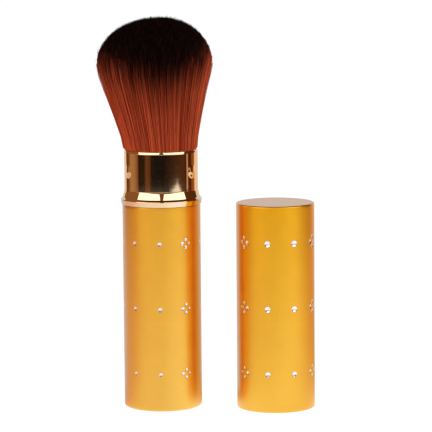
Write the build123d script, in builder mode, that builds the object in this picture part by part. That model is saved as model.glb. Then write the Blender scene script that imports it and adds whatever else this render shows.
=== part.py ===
from build123d import *

import os
from math import cos, degrees, radians, sin, sqrt

# Retractable makeup brush, standing open on its base, with its cap standing beside it on its mouth.
# Millimetres, +Z up. The origin is the centre of the body's flat base, on the floor. The front of
# the brush looks along -Y, and the cap stands on the +X side. Pieces that slide are at rest, down.

# Body and cap: two drawn aluminium cups of one diameter and one wall
tube_radius = 12.5
tube_wall = 0.55
tube_inner_chamfer = 0.2
body_length = 65.5
body_edge_radius = 0.75
cap_length = 66.05
cap_edge_radius = 0.5
cap_gap = 11.4
cap_y = -3.1

# Bright-cut dimples, ground by one ball-nosed cutter at nine places round each tube. Every third
# place has a flower of four petals, the others a single dot. The lowest row is cut less deep.
cutter_radius = 2.2
dimple_rows = 3
dimple_places = 9
flower_every = 3
row_spacing = 20.95
row_lift = 0.2
body_first_angle = -52
body_dot_width = 1.4
body_petal_width = 1.2
body_petal_reach = 1.22
cap_first_angle = -23
cap_dot_width = 1.95
cap_petal_width = 1.6
cap_petal_reach = 1.45
row_width_shares = (0.85, 0.97, 1.0)

# Collar: a thin polished ring with a band and a coved shoulder at its foot, a lip that draws in
# at its mouth, and three bumps that a ball punch pressed out from inside to hold the cap
seam_gap = 0.15
cap_fit = 0.15
collar_wall = 0.45
collar_height = 17.55
band_height = 2.0
band_edge_chamfer = 0.12
shoulder_height = 2.9
lip_height = 1.1
lip_draw = 0.15
bump_count = 3
bump_first_angle = -32
bump_ball_radius = 5.0
bump_clearance = 0.02
bump_above_shoulder = 6.0

# Liner: a plastic guide tube pressed into the body, with two slots whose ends set the stroke
liner_fit = 0.05
liner_wall = 0.9
slot_width = 4.0
slot_corner_radius = 0.3
slot_end_clearance = 0.2

# Base plug: closes the liner's foot and holds the post's foot in a ring
plug_fit = 0.1
plug_thickness = 2.4
plug_ring_height = 3.0
plug_ring_wall = 2.1

# Slide sleeve: hangs in the liner from a flange in the collar's band, and opens in a funnel that
# gathers the hair. Two spring tongues at its foot carry the lugs that ride in the slots.
sleeve_clearance = 0.15
sleeve_wall = 0.9
sleeve_end_clearance = 4.05
sleeve_engagement = 19.5
sleeve_below_mouth = 5.2
flange_clearance = 0.35
collar_fit = 0.05
funnel_height = 6.0
funnel_edge = 0.4
tongue_width = 5.2
tongue_length = 16.0
tongue_slit = 0.8
lug_height = 4.0
lug_lead = 1.6
lug_above_end = 2.0
lug_side_clearance = 0.2
lug_tip_clearance = 0.35

# Ferrule: a thin tube crimped round the hair, pushed over the post's head
ferrule_clearance = 0.25
ferrule_wall = 0.4
ferrule_length = 20.0
ferrule_below_mouth = 7.2
crimp_depth = 0.3
crimp_width = 1.8
crimp_below_end = 5.0

# Post: a foot, four fins, and a head whose spigot fills the ferrule's lower end
post_fit = 0.05
post_foot_height = 2.0
post_core_radius = 2.2
fin_thickness = 1.6
fin_inset = 1.2
post_head_height = 2.0
post_spigot_height = 4.0

# Hair: bound by a cord, glued into the ferrule, gathered at the collar's mouth and splayed above
# it to a dome that leans towards -X
glue_thickness = 4.0
tie_radius = 0.25
tie_sides = 6
tie_clearance = 0.05
hair_fit = 0.05
hair_gather_clearance = 0.1
hair_spread_radius = 18.65
hair_widest_above_mouth = 26.9
hair_dome_height = 15.2
hair_lean_share = 0.083
strand_count = 330
strand_sides = 3
strand_turn = 137.508
strand_embed = 0.4
strand_root_radius = 0.31
strand_mouth_radius = 0.4
strand_shoulder_radius = 0.58
strand_shoulder_share = 0.8
strand_tip_radius = 0.14

# Every cut runs this far past the faces that it goes through
overrun = 1.0

# Radii that follow, from the tube's skin inwards
bore_radius = tube_radius - tube_wall
collar_radius = bore_radius - cap_fit
collar_bore = collar_radius - collar_wall
band_bore = tube_radius - collar_wall
liner_outer = bore_radius - liner_fit
liner_inner = liner_outer - liner_wall
sleeve_outer = liner_inner - sleeve_clearance
sleeve_inner = sleeve_outer - sleeve_wall
ferrule_outer = sleeve_inner - ferrule_clearance
ferrule_inner = ferrule_outer - ferrule_wall
hair_radius = ferrule_inner - hair_fit
ring_outer = liner_inner - plug_fit
ring_inner = ring_outer - plug_ring_wall

# Heights that follow, from the floor up
liner_bottom = tube_wall + plug_thickness
sleeve_bottom = liner_bottom + plug_ring_height + sleeve_end_clearance
stroke = body_length - sleeve_bottom - sleeve_engagement
lug_bottom = sleeve_bottom + lug_above_end
lug_top = lug_bottom + lug_height
slot_bottom = lug_bottom - slot_end_clearance
slot_top = lug_top + stroke + slot_end_clearance
collar_bottom = body_length + seam_gap
band_top = collar_bottom + band_height
shoulder_top = band_top + shoulder_height
bump_z = shoulder_top + bump_above_shoulder
collar_mouth = collar_bottom + collar_height
lip_bottom = collar_mouth - lip_height
flange_top = band_top - flange_clearance
sleeve_top = collar_mouth - sleeve_below_mouth
ferrule_mouth = collar_mouth - ferrule_below_mouth
ferrule_bottom = ferrule_mouth - ferrule_length
crimp_z = ferrule_mouth - crimp_below_end
glue_bottom = ferrule_bottom + post_spigot_height
glue_top = glue_bottom + glue_thickness
tie_z = (glue_top + crimp_z - crimp_width / 2) / 2
hair_widest_z = collar_mouth + hair_widest_above_mouth


def cutter_places(length, first_angle, dot_width, petal_width, petal_reach):
    """Centres of the ball cutter for every dimple of one tube, about the tube's own axis.

    The rows lie evenly about a level just above the middle of the tube. A ball whose centre is
    this far out meets the skin in a circle of the wanted width.
    """
    places = []
    for row in range(dimple_rows):
        row_z = length / 2 + row_lift + (row - (dimple_rows - 1) / 2) * row_spacing
        for place in range(dimple_places):
            if place % flower_every == 0:
                turn = degrees(petal_reach / tube_radius)
                steps = ((turn, 0), (-turn, 0), (0, petal_reach), (0, -petal_reach))
                width = row_width_shares[row] * petal_width
            else:
                steps = ((0, 0),)
                width = row_width_shares[row] * dot_width
            reach = tube_radius + sqrt(cutter_radius**2 - (width / 2) ** 2)
            for side, rise in steps:
                angle = radians(first_angle + 360 * place / dimple_places + side)
                places.append((reach * cos(angle), reach * sin(angle), row_z + rise))
    return places


def strand(index):
    """One lock of hair: a slim flat-sided bar from the bundle, through the mouth, to the dome.

    The locks start on a sunflower spiral and spread straight out from the axis. The reach of each
    is one share of the outermost lock's at every height, so that no two of them cross.
    """
    share = sqrt((index + 0.5) / strand_count)
    angle = index * strand_turn
    root_reach = hair_radius - strand_root_radius
    mouth_reach = collar_bore - lip_draw - hair_gather_clearance - strand_mouth_radius
    tip_reach = hair_spread_radius * (1 - hair_lean_share * cos(radians(angle)))
    tip_z = hair_widest_z + hair_dome_height * sqrt(1 - share**2)
    shoulder_reach = mouth_reach + strand_shoulder_share * (tip_reach - mouth_reach)
    shoulder_z = collar_mouth + strand_shoulder_share * (tip_z - collar_mouth)
    stations = (
        (ferrule_mouth - strand_embed, root_reach, strand_root_radius),
        (collar_mouth, mouth_reach, strand_mouth_radius),
        (shoulder_z, shoulder_reach, strand_shoulder_radius),
        (tip_z, tip_reach, strand_tip_radius),
    )
    turns = [radians(360 * side / strand_sides) for side in range(strand_sides)]
    rings = [
        [
            Vector(share * reach + radius * cos(turn), radius * sin(turn), height).rotate(
                Axis.Z, angle
            )
            for turn in turns
        ]
        for height, reach, radius in stations
    ]
    ends = [Face(Wire.make_polygon(rings[0])), Face(Wire.make_polygon(rings[-1]))]
    sides = [
        Face(Wire.make_polygon((lower[side - 1], lower[side], upper[side], upper[side - 1])))
        for lower, upper in zip(rings, rings[1:])
        for side in range(strand_sides)
    ]
    return Solid(Shell(ends + sides))


with BuildPart() as body_tube:
    with BuildSketch(Plane.XZ):
        with BuildLine():
            Polyline(
                (0, 0),
                (tube_radius, 0),
                (tube_radius, body_length),
                (bore_radius, body_length),
                (bore_radius, tube_wall),
                (0, tube_wall),
                close=True,
            )
        make_face()
        fillet(vertices().sort_by_distance((tube_radius, 0))[0], body_edge_radius)
        chamfer(vertices().sort_by_distance((bore_radius, tube_wall))[0], tube_inner_chamfer)
    revolve(axis=Axis.Z)
    body_cuts = cutter_places(
        body_length, body_first_angle, body_dot_width, body_petal_width, body_petal_reach
    )
    with Locations(*body_cuts):
        Sphere(cutter_radius, mode=Mode.SUBTRACT)

with BuildPart() as cap_shell:
    with BuildSketch(Plane.XZ):
        with BuildLine():
            Polyline(
                (0, cap_length),
                (tube_radius, cap_length),
                (tube_radius, 0),
                (bore_radius, 0),
                (bore_radius, cap_length - tube_wall),
                (0, cap_length - tube_wall),
                close=True,
            )
        make_face()
        fillet(vertices().sort_by_distance((tube_radius, cap_length))[0], cap_edge_radius)
        chamfer(
            vertices().sort_by_distance((bore_radius, cap_length - tube_wall))[0],
            tube_inner_chamfer,
        )
    revolve(axis=Axis.Z)
    cap_cuts = cutter_places(
        cap_length, cap_first_angle, cap_dot_width, cap_petal_width, cap_petal_reach
    )
    with Locations(*cap_cuts):
        Sphere(cutter_radius, mode=Mode.SUBTRACT)
cap_shell.part.locate(Location((2 * tube_radius + cap_gap, cap_y, 0)))

with BuildPart() as body_liner:
    with BuildSketch(Plane.XY.offset(liner_bottom)):
        Circle(liner_outer)
        Circle(liner_inner, mode=Mode.SUBTRACT)
    extrude(amount=body_length - liner_bottom)
    with BuildSketch(Plane.YZ):
        with Locations((0, (slot_bottom + slot_top) / 2)):
            RectangleRounded(slot_width, slot_top - slot_bottom, slot_corner_radius)
    extrude(amount=liner_outer + overrun, both=True, mode=Mode.SUBTRACT)

with BuildPart() as base_plug:
    with BuildSketch(Plane.XY.offset(tube_wall)):
        Circle(bore_radius - tube_inner_chamfer)
    extrude(amount=plug_thickness)
    with BuildSketch(Plane.XY.offset(liner_bottom)):
        Circle(ring_outer)
        Circle(ring_inner, mode=Mode.SUBTRACT)
    extrude(amount=plug_ring_height)

with BuildPart() as head_post:
    with BuildSketch(Plane.XY.offset(liner_bottom)):
        Circle(ring_inner - post_fit)
    extrude(amount=post_foot_height)
    with BuildSketch(Plane.XY.offset(liner_bottom + post_foot_height)):
        Circle(post_core_radius)
        Rectangle(2 * (ferrule_outer - fin_inset), fin_thickness)
        Rectangle(fin_thickness, 2 * (ferrule_outer - fin_inset))
    extrude(amount=ferrule_bottom - post_head_height - liner_bottom - post_foot_height)
    with BuildSketch(Plane.XY.offset(ferrule_bottom - post_head_height)):
        Circle(ferrule_outer)
    extrude(amount=post_head_height)
    with BuildSketch(Plane.XY.offset(ferrule_bottom)):
        Circle(ferrule_inner - post_fit)
    extrude(amount=post_spigot_height)

with BuildPart() as head_ferrule:
    with BuildSketch(Plane.XZ):
        with BuildLine():
            Polyline(
                (ferrule_inner, ferrule_bottom),
                (ferrule_inner, crimp_z - crimp_width / 2),
                (ferrule_inner - crimp_depth, crimp_z),
                (ferrule_inner, crimp_z + crimp_width / 2),
                (ferrule_inner, ferrule_mouth),
                (ferrule_outer, ferrule_mouth),
                (ferrule_outer, crimp_z + crimp_width / 2),
                (ferrule_outer - crimp_depth, crimp_z),
                (ferrule_outer, crimp_z - crimp_width / 2),
                (ferrule_outer, ferrule_bottom),
                close=True,
            )
        make_face()
    revolve(axis=Axis.Z)

with BuildPart() as hair_glue:
    with BuildSketch(Plane.XY.offset(glue_bottom)):
        Circle(hair_radius)
    extrude(amount=glue_thickness)

with BuildPart() as hair_tie:
    with BuildSketch(Plane.XZ):
        with Locations((hair_radius - tie_radius, tie_z)):
            RegularPolygon(tie_radius, tie_sides)
    revolve(axis=Axis.Z)

with BuildPart() as hair_bundle:
    with BuildSketch(Plane.XZ):
        with BuildLine():
            Polyline(
                (hair_radius, crimp_z - crimp_width / 2),
                (hair_radius - crimp_depth, crimp_z),
                (hair_radius, crimp_z + crimp_width / 2),
                (hair_radius, ferrule_mouth),
                (0, ferrule_mouth),
                (0, glue_top),
                (hair_radius, glue_top),
                close=True,
            )
        make_face()
        with Locations((hair_radius - tie_radius, tie_z)):
            RegularPolygon(tie_radius + tie_clearance, tie_sides, mode=Mode.SUBTRACT)
    revolve(axis=Axis.Z)

# One fuse joins all the locks to the bundle
strands = Compound([strand(index) for index in range(strand_count)])
with BuildPart() as bristles:
    add(hair_bundle.part.fuse(strands))

with BuildPart() as collar:
    with BuildSketch(Plane.XZ):
        with BuildLine():
            Polyline(
                (collar_radius, shoulder_top),
                (collar_radius, lip_bottom),
                (collar_radius - lip_draw, collar_mouth),
                (0, collar_mouth),
                (0, collar_bottom),
                (tube_radius, collar_bottom),
                (tube_radius, band_top),
            )
            TangentArc((collar_radius, shoulder_top), (tube_radius, band_top), tangent=(0, -1))
        make_face()
        chamfer(vertices().sort_by_distance((tube_radius, collar_bottom))[0], band_edge_chamfer)
        chamfer(vertices().sort_by_distance((tube_radius, band_top))[0], band_edge_chamfer)
    revolve(axis=Axis.Z)
    bump_reach = bore_radius - bump_clearance - bump_ball_radius
    with Locations((0, 0, bump_z)):
        with PolarLocations(bump_reach, bump_count, start_angle=bump_first_angle):
            Sphere(bump_ball_radius)
    with BuildSketch(Plane.XZ):
        with BuildLine():
            Polyline(
                (collar_bore, shoulder_top),
                (collar_bore, lip_bottom),
                (collar_bore - lip_draw, collar_mouth),
                (collar_bore - lip_draw, collar_mouth + overrun),
                (0, collar_mouth + overrun),
                (0, collar_bottom - overrun),
                (band_bore, collar_bottom - overrun),
                (band_bore, band_top),
            )
            TangentArc((collar_bore, shoulder_top), (band_bore, band_top), tangent=(0, -1))
        make_face()
    revolve(axis=Axis.Z, mode=Mode.SUBTRACT)
    with Locations((0, 0, bump_z)):
        with PolarLocations(bump_reach, bump_count, start_angle=bump_first_angle):
            Sphere(bump_ball_radius - collar_wall, mode=Mode.SUBTRACT)

with BuildPart() as slide_sleeve:
    with BuildSketch(Plane.XZ):
        with BuildLine():
            Polyline(
                (sleeve_inner, sleeve_bottom),
                (sleeve_outer, sleeve_bottom),
                (sleeve_outer, body_length),
                (band_bore - collar_fit, body_length),
                (band_bore - collar_fit, flange_top),
                (collar_bore - collar_fit, flange_top),
                (collar_bore - collar_fit, sleeve_top),
                (collar_bore - collar_fit - funnel_edge, sleeve_top),
                (sleeve_inner, sleeve_top - funnel_height),
                close=True,
            )
        make_face()
    revolve(axis=Axis.Z)
    with BuildSketch(Plane.YZ):
        with Locations((0, sleeve_bottom)):
            Rectangle(tongue_width + 2 * tongue_slit, 2 * tongue_length)
            Rectangle(tongue_width, 2 * tongue_length, mode=Mode.SUBTRACT)
    extrude(amount=sleeve_outer + overrun, both=True, mode=Mode.SUBTRACT)
    with BuildSketch(Plane.XZ):
        with BuildLine():
            Polyline(
                ((sleeve_inner + sleeve_outer) / 2, lug_bottom),
                (sleeve_outer, lug_bottom),
                (bore_radius - lug_tip_clearance, lug_bottom + lug_lead),
                (bore_radius - lug_tip_clearance, lug_top),
                ((sleeve_inner + sleeve_outer) / 2, lug_top),
                close=True,
            )
        make_face()
        mirror(about=Plane.YZ)
    extrude(amount=slot_width / 2 - lug_side_clearance, both=True)

body_tube.part.label = "body_tube"
body_liner.part.label = "body_liner"
base_plug.part.label = "base_plug"
head_post.part.label = "head_post"
head_ferrule.part.label = "head_ferrule"
hair_glue.part.label = "hair_glue"
hair_tie.part.label = "hair_tie"
bristles.part.label = "bristles"
collar.part.label = "collar"
slide_sleeve.part.label = "slide_sleeve"
cap_shell.part.label = "cap_shell"

os.makedirs("parts", exist_ok=True)
export_step(body_tube.part, "parts/body_tube.step")
export_step(body_liner.part, "parts/body_liner.step")
export_step(base_plug.part, "parts/base_plug.step")
export_step(head_post.part, "parts/head_post.step")
export_step(head_ferrule.part, "parts/head_ferrule.step")
export_step(hair_glue.part, "parts/hair_glue.step")
export_step(hair_tie.part, "parts/hair_tie.step")
export_step(bristles.part, "parts/bristles.step")
export_step(collar.part, "parts/collar.step")
export_step(slide_sleeve.part, "parts/slide_sleeve.step")
export_step(cap_shell.part, "parts/cap_shell.step")
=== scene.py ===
import logging
from dataclasses import dataclass, field, replace
from enum import Enum
from math import cos, pi, radians, sin, sqrt, tau
from typing import Any, ClassVar, Sequence

import bmesh
import bpy
import numpy as np
from mathutils import Matrix, Vector

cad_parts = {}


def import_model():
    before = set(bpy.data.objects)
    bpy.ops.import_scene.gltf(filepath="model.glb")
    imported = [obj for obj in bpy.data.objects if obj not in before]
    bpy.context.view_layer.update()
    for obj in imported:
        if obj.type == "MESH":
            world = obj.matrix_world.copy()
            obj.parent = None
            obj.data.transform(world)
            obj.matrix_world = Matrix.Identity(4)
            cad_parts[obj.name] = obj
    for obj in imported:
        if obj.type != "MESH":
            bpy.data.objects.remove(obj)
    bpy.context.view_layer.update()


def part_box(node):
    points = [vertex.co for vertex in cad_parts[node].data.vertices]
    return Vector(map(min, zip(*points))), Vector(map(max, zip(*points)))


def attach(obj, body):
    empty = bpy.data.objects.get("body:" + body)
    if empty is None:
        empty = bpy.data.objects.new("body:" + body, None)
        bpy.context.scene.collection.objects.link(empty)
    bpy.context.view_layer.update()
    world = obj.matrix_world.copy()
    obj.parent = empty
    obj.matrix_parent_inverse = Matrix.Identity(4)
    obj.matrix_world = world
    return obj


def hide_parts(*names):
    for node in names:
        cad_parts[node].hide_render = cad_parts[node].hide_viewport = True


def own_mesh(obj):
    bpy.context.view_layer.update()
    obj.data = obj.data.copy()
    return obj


# A retractable powder brush, open on its base, and its cap standing beside it on its mouth.
# Sizes are in millimetres in the classes and turned to metres as each mesh is made.

MM = 0.001
Pair = tuple[float, float]
Triple = tuple[float, float, float]
Colour = tuple[float, float, float, float]
Reach = np.ndarray | float
Tree = bpy.types.NodeTree
Material = bpy.types.Material
LOG = logging.getLogger("makeup_brush")


class Rides(Enum):
    """The bodies of the joined model that a piece can move with."""

    HANDLE = "handle"
    COLLAR = "collar_unit"
    CAP = "cap"


class Slot(Enum):
    """The record's material slots."""

    GOLD = "gold_anodised_aluminium"
    PALE_GOLD = "polished_pale_gold"
    PLAIN = "plain_aluminium"
    PLASTIC = "black_plastic"
    EPOXY = "epoxy"
    CORD = "binding_cord"
    HAIR = "brush_hair"


def linear(code: str) -> Colour:
    """Turns an sRGB hex colour into linear light.

    Args:
        code: Six hex digits, such as "e0a337".

    Returns:
        The linear red, green and blue, and an alpha of 1.
    """
    values = [int(code[at : at + 2], 16) / 255 for at in (0, 2, 4)]
    parts = [v / 12.92 if v <= 0.04045 else ((v + 0.055) / 1.055) ** 2.4 for v in values]
    return (parts[0], parts[1], parts[2], 1.0)


def add_node(
    tree: Tree, kind: str, inputs: dict[str | int, Any] | None = None, **settings: Any
) -> bpy.types.NodeOutputs:
    """Adds one node with its settings, its input values and its links.

    Args:
        tree: The node tree that gets the node.
        kind: The node's type without its prefix, such as "Mix".
        inputs: A value or an output socket for each input, by its name or number.
        **settings: The node's own properties.

    Returns:
        The node's outputs, to be picked by name or number.
    """
    node = tree.nodes.new("ShaderNode" + kind)
    for name, value in settings.items():
        setattr(node, name, value)
    for name, value in (inputs or {}).items():
        if isinstance(value, bpy.types.NodeSocket):
            tree.links.new(value, node.inputs[name])
        else:
            node.inputs[name].default_value = value
    return node.outputs


def new_material(name: str) -> tuple[Material, Tree]:
    """Makes an empty node material.

    Args:
        name: The finish that it shows.

    Returns:
        The material and its node tree, with no nodes in it.
    """
    material = bpy.data.materials.new(name)
    material.use_nodes = True
    material.node_tree.nodes.clear()
    return material, material.node_tree


def grid_quads(rows: int, columns: int, joined: bool = False) -> np.ndarray:
    """Quads of a grid whose columns run round and meet, with its points counted row by row.

    Args:
        rows: The number of rows along the profile.
        columns: The number of points round each row.
        joined: Whether the last row meets the first, as on a ring.

    Returns:
        An array of four point numbers for each face. Where rows climb an outer wall, the faces
        point outwards.
    """
    row = np.arange(rows if joined else rows - 1)[:, None]
    column = np.arange(columns)[None, :]
    below, above = row * columns, (row + 1) % rows * columns
    after = (column + 1) % columns
    quads = np.stack((below + column, below + after, above + after, above + column), axis=-1)
    return quads.reshape(-1, 4)


def turned(reach: Reach, angle: np.ndarray, height: Reach, centre: Pair = (0.0, 0.0)) -> np.ndarray:
    """Points round an upright axis: distance times cosine and sine of the angle, and height.

    Args:
        reach: Their distances from the axis.
        angle: Their angles in radians, from +X towards +Y.
        height: Their heights.
        centre: Where the axis stands.

    Returns:
        The points in the shape that the three make together, three numbers each.
    """
    x = centre[0] + reach * np.cos(angle)
    y = centre[1] + reach * np.sin(angle)
    return np.stack(np.broadcast_arrays(x, y, height), axis=-1)


def make_object(
    name: str,
    points: np.ndarray,
    faces: Sequence[np.ndarray],
    attributes: dict[str, np.ndarray] | None = None,
) -> bpy.types.Object:
    """Puts whole arrays of points and faces into a smooth mesh object at the origin.

    Args:
        name: The piece's name.
        points: Its points in millimetres, three numbers each.
        faces: Arrays of faces, each array with its own number of corners.
        attributes: Numbers for each point, by attribute name.

    Returns:
        The new object, in the scene.
    """
    mesh = bpy.data.meshes.new(name)
    mesh.vertices.add(points.size // 3)
    mesh.vertices.foreach_set("co", (points * MM).astype(np.float32).ravel())
    corners = np.concatenate([part.ravel() for part in faces]).astype(np.int32)
    sizes = np.concatenate([np.full(len(part), part.shape[1]) for part in faces])
    mesh.loops.add(len(corners))
    mesh.loops.foreach_set("vertex_index", corners)
    mesh.polygons.add(len(sizes))
    starts = np.concatenate(([0], np.cumsum(sizes)[:-1])).astype(np.int32)
    mesh.polygons.foreach_set("loop_start", starts)
    mesh.update(calc_edges=True)
    mesh.shade_smooth()
    for key, values in (attributes or {}).items():
        layer = mesh.attributes.new(key, "FLOAT", "POINT")
        layer.data.foreach_set("value", values.astype(np.float32).ravel())
    made = bpy.data.objects.new(name, mesh)
    bpy.context.scene.collection.objects.link(made)
    return made


def smoothstep(values: np.ndarray) -> np.ndarray:
    """Eases from 0 to 1 as three times the square less twice the cube, flat at both ends."""
    held = np.clip(values, 0.0, 1.0)
    return held * held * (3.0 - 2.0 * held)


def graded_lines(
    start: float, end: float, centres: Sequence[Pair], fine: float, coarse: float
) -> np.ndarray:
    """Spaces grid lines closely near given places and widely elsewhere.

    The wanted spacing at each place is the fine one within reach of a centre and grows smoothly to
    the coarse one over three millimetres. The lines stand where the running sum of one over that
    spacing passes each whole number.

    Args:
        start: The first line's place in millimetres.
        end: The last line's place.
        centres: Each place that needs close lines, and how far they reach to each side.
        fine: The close spacing.
        coarse: The wide spacing.

    Returns:
        The places of the lines, with both ends.
    """
    samples, growth = 20001, 3.0
    place = np.linspace(start, end, samples)
    away = np.min([np.abs(place - centre) - reach for centre, reach in centres], axis=0)
    spacing = fine + (coarse - fine) * smoothstep(away / growth)
    passed = np.concatenate(([0.0], np.cumsum(np.diff(place) / spacing[1:])))
    count = int(round(passed[-1]))
    return np.interp(np.linspace(0.0, passed[-1], count + 1), passed, place)


def arc(centre: Pair, radius: float, start: float, end: float, count: int) -> np.ndarray:
    """Points of a circular arc in a profile: the centre plus the radius times cosine and sine.

    Args:
        centre: Its centre, as distance from the axis and height.
        radius: Its radius.
        start: The first angle in degrees, from straight outwards to straight up.
        end: The last angle.
        count: The number of points.

    Returns:
        An array of distance and height.
    """
    turn = np.radians(np.linspace(start, end, count))
    return np.array(centre) + radius * np.stack((np.cos(turn), np.sin(turn)), axis=-1)


# Finishes


class Finish:
    """How a surface looks: each finish gives the inputs of its principled shader."""

    label: ClassVar[str]

    def surface(self, tree: Tree) -> dict[str, Any]:
        """Adds the nodes of the finish's pattern.

        Args:
            tree: The material's node tree.

        Returns:
            A value or an output socket for each input of the principled shader, by its name.
        """
        raise NotImplementedError

    def material(self) -> Material:
        """Makes the material round the shader that the finish feeds.

        Returns:
            The material.
        """
        material, tree = new_material(self.label)
        shader = add_node(tree, "BsdfPrincipled", self.surface(tree))[0]
        add_node(tree, "OutputMaterial", {"Surface": shader})
        return material


@dataclass(frozen=True)
class SatinGoldAnodised(Finish):
    """Anodised aluminium: drawn, finely brushed round, etched satin and dyed gold.

    The oxide gives a soft, wide gleam in a deep yellow gold, with a paler edge where it is seen
    flat. The dimples are cut through it to bare metal that shines like silver.
    """

    label: ClassVar[str] = "satin_gold_anodised"
    # The tube's axis, which the brushing runs round
    centre: Pair = (0.0, 0.0)
    gold: str = "f9b408"
    gold_deep: str = "f2aa04"
    # Painted reflection of the white floor, which makes the gold paler low down. This is added to
    # the gold, in full at the foot and not at all at this height.
    floor_reflection_tint: str = "00443c"
    floor_reflection_fade: float = 66.0
    bare: str = "fbf5ea"
    lip: str = "b9785a"
    # How far inside a dimple's edge its dull lip begins and is full, and its bare metal too
    lip_span: Pair = (-0.16, -0.02)
    bare_span: Pair = (-0.03, 0.05)
    # Brushing lines stand 0.06 mm apart. At that width none would show, so they are drawn 0.3 mm
    # apart, one for each dot of the picture.
    lines_per_mm: float = 3.3
    line_relief: float = 0.02
    clouds_per_mm: float = 0.12
    roughness: float = 0.32
    roughness_spread: float = 0.03
    cut_roughness: float = 0.13
    seal_roughness: float = 0.3
    seal_ior: float = 1.5

    def surface(self, tree: Tree) -> dict[str, Any]:
        """Brushes the metal round its axis, clouds the dye, paints the floor's reflection and bares the
        dimples.

        Args:
            tree: The material's node tree.

        Returns:
            The inputs of the principled shader, by name.
        """
        place = add_node(tree, "TexCoord")["Object"]
        shift = (-self.centre[0], -self.centre[1], 0.0)
        in_mm = {"Vector": place, "Location": shift, "Scale": (1 / MM, 1 / MM, 1 / MM)}
        about = add_node(tree, "Mapping", in_mm)[0]
        split = add_node(tree, "SeparateXYZ", {0: about})
        flat = add_node(tree, "CombineXYZ", {0: split[0], 1: split[1]})[0]
        reach = add_node(tree, "VectorMath", {0: flat}, operation="LENGTH")["Value"]
        rings = add_node(tree, "CombineXYZ", {0: reach, 1: split[2]})[0]
        strokes = {"Vector": rings, "Scale": self.lines_per_mm, "Detail": 3.0, "Roughness": 0.6}
        brushing = add_node(tree, "TexNoise", strokes)[0]
        clouds = {"Vector": about, "Scale": self.clouds_per_mm, "Detail": 2.0}
        cloud = add_node(tree, "TexNoise", clouds)[0]
        worn = add_node(tree, "Math", {0: brushing, 1: 0.6, 2: cloud}, operation="MULTIPLY_ADD")[0]
        share = add_node(tree, "MapRange", {"Value": worn, "From Min": 0.5, "From Max": 1.1})[0]
        dyes = {0: share, 6: linear(self.gold_deep), 7: linear(self.gold)}
        dyed = add_node(tree, "Mix", dyes, data_type="RGBA")[2]
        # Painted reflection of the white floor: the gold turns paler towards the foot
        drop = {"Value": split[2], "From Min": self.floor_reflection_fade, "From Max": 0.0}
        foot = {0: add_node(tree, "MapRange", drop)[0], 6: dyed, 7: linear(self.floor_reflection_tint)}
        gold = add_node(tree, "Mix", foot, data_type="RGBA", blend_type="ADD")[2]
        cut = add_node(tree, "Attribute", attribute_name="cut_edge")["Fac"]
        rim, inside = (
            add_node(tree, "MapRange", {"Value": cut, "From Min": begins, "From Max": full})[0]
            for begins, full in (self.lip_span, self.bare_span)
        )
        lipped = add_node(tree, "Mix", {0: rim, 6: gold, 7: linear(self.lip)}, data_type="RGBA")[2]
        layers = {0: inside, 6: lipped, 7: linear(self.bare)}
        low, high = self.roughness - self.roughness_spread, self.roughness + self.roughness_spread
        rough = add_node(tree, "MapRange", {"Value": share, "To Min": low, "To Max": high})[0]
        gloss = {0: inside, 2: rough, 3: self.cut_roughness}
        relief = {"Height": brushing, "Strength": 0.25, "Distance": self.line_relief * MM}
        return {
            "Base Color": add_node(tree, "Mix", layers, data_type="RGBA")[2],
            "Metallic": 1.0,
            "Roughness": add_node(tree, "Mix", gloss, data_type="FLOAT")[0],
            "Normal": add_node(tree, "Bump", relief)[0],
            "Coat Weight": 1.0,
            "Coat Roughness": self.seal_roughness,
            "Coat IOR": self.seal_ior,
        }


@dataclass(frozen=True)
class PolishedPaleGold(Finish):
    """Aluminium, spun, buffed and plated pale gold: a near mirror with a warm, peachy tint."""

    label: ClassVar[str] = "polished_pale_gold"
    colour: str = "f4d5ab"
    roughness_span: Pair = (0.025, 0.055)
    # Buffing rings stand 0.1 mm apart in height, drawn 0.4 mm apart so that they show
    rings_per_metre: Triple = (40.0, 40.0, 2500.0)
    ring_relief: float = 0.02

    def surface(self, tree: Tree) -> dict[str, Any]:
        """Adds the faint rings that buffing leaves.

        Args:
            tree: The material's node tree.

        Returns:
            The inputs of the principled shader, by name.
        """
        place = add_node(tree, "TexCoord")["Object"]
        rings = add_node(tree, "Mapping", {"Vector": place, "Scale": self.rings_per_metre})[0]
        buffing = add_node(tree, "TexNoise", {"Vector": rings, "Scale": 1.0, "Detail": 2.0})[0]
        low, high = self.roughness_span
        relief = {"Height": buffing, "Strength": 0.03, "Distance": self.ring_relief * MM}
        return {
            "Base Color": linear(self.colour),
            "Metallic": 1.0,
            "Roughness": add_node(tree, "MapRange", {"Value": buffing, "To Min": low, "To Max": high})[0],
            "Normal": add_node(tree, "Bump", relief)[0],
        }


@dataclass(frozen=True)
class MouldedBlackPlastic(Finish):
    """ABS, injection moulded in a spark-eroded tool: black, with a fine matt grain."""

    label: ClassVar[str] = "moulded_black_plastic"
    colour: str = "141415"
    roughness_span: Pair = (0.42, 0.56)
    # The eroded grain is 0.15 mm across
    grain_per_mm: float = 6.5
    grain_relief: float = 0.03
    ior: float = 1.54

    def surface(self, tree: Tree) -> dict[str, Any]:
        """Adds the eroded grain, in relief and in gloss.

        Args:
            tree: The material's node tree.

        Returns:
            The inputs of the principled shader, by name.
        """
        place = add_node(tree, "TexCoord")["Object"]
        eroded = {"Vector": place, "Scale": self.grain_per_mm / MM, "Detail": 2.0}
        grain = add_node(tree, "TexNoise", eroded)[0]
        low, high = self.roughness_span
        relief = {"Height": grain, "Strength": 0.3, "Distance": self.grain_relief * MM}
        return {
            "Base Color": linear(self.colour),
            "Roughness": add_node(tree, "MapRange", {"Value": grain, "To Min": low, "To Max": high})[0],
            "IOR": self.ior,
            "Normal": add_node(tree, "Bump", relief)[0],
        }


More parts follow.
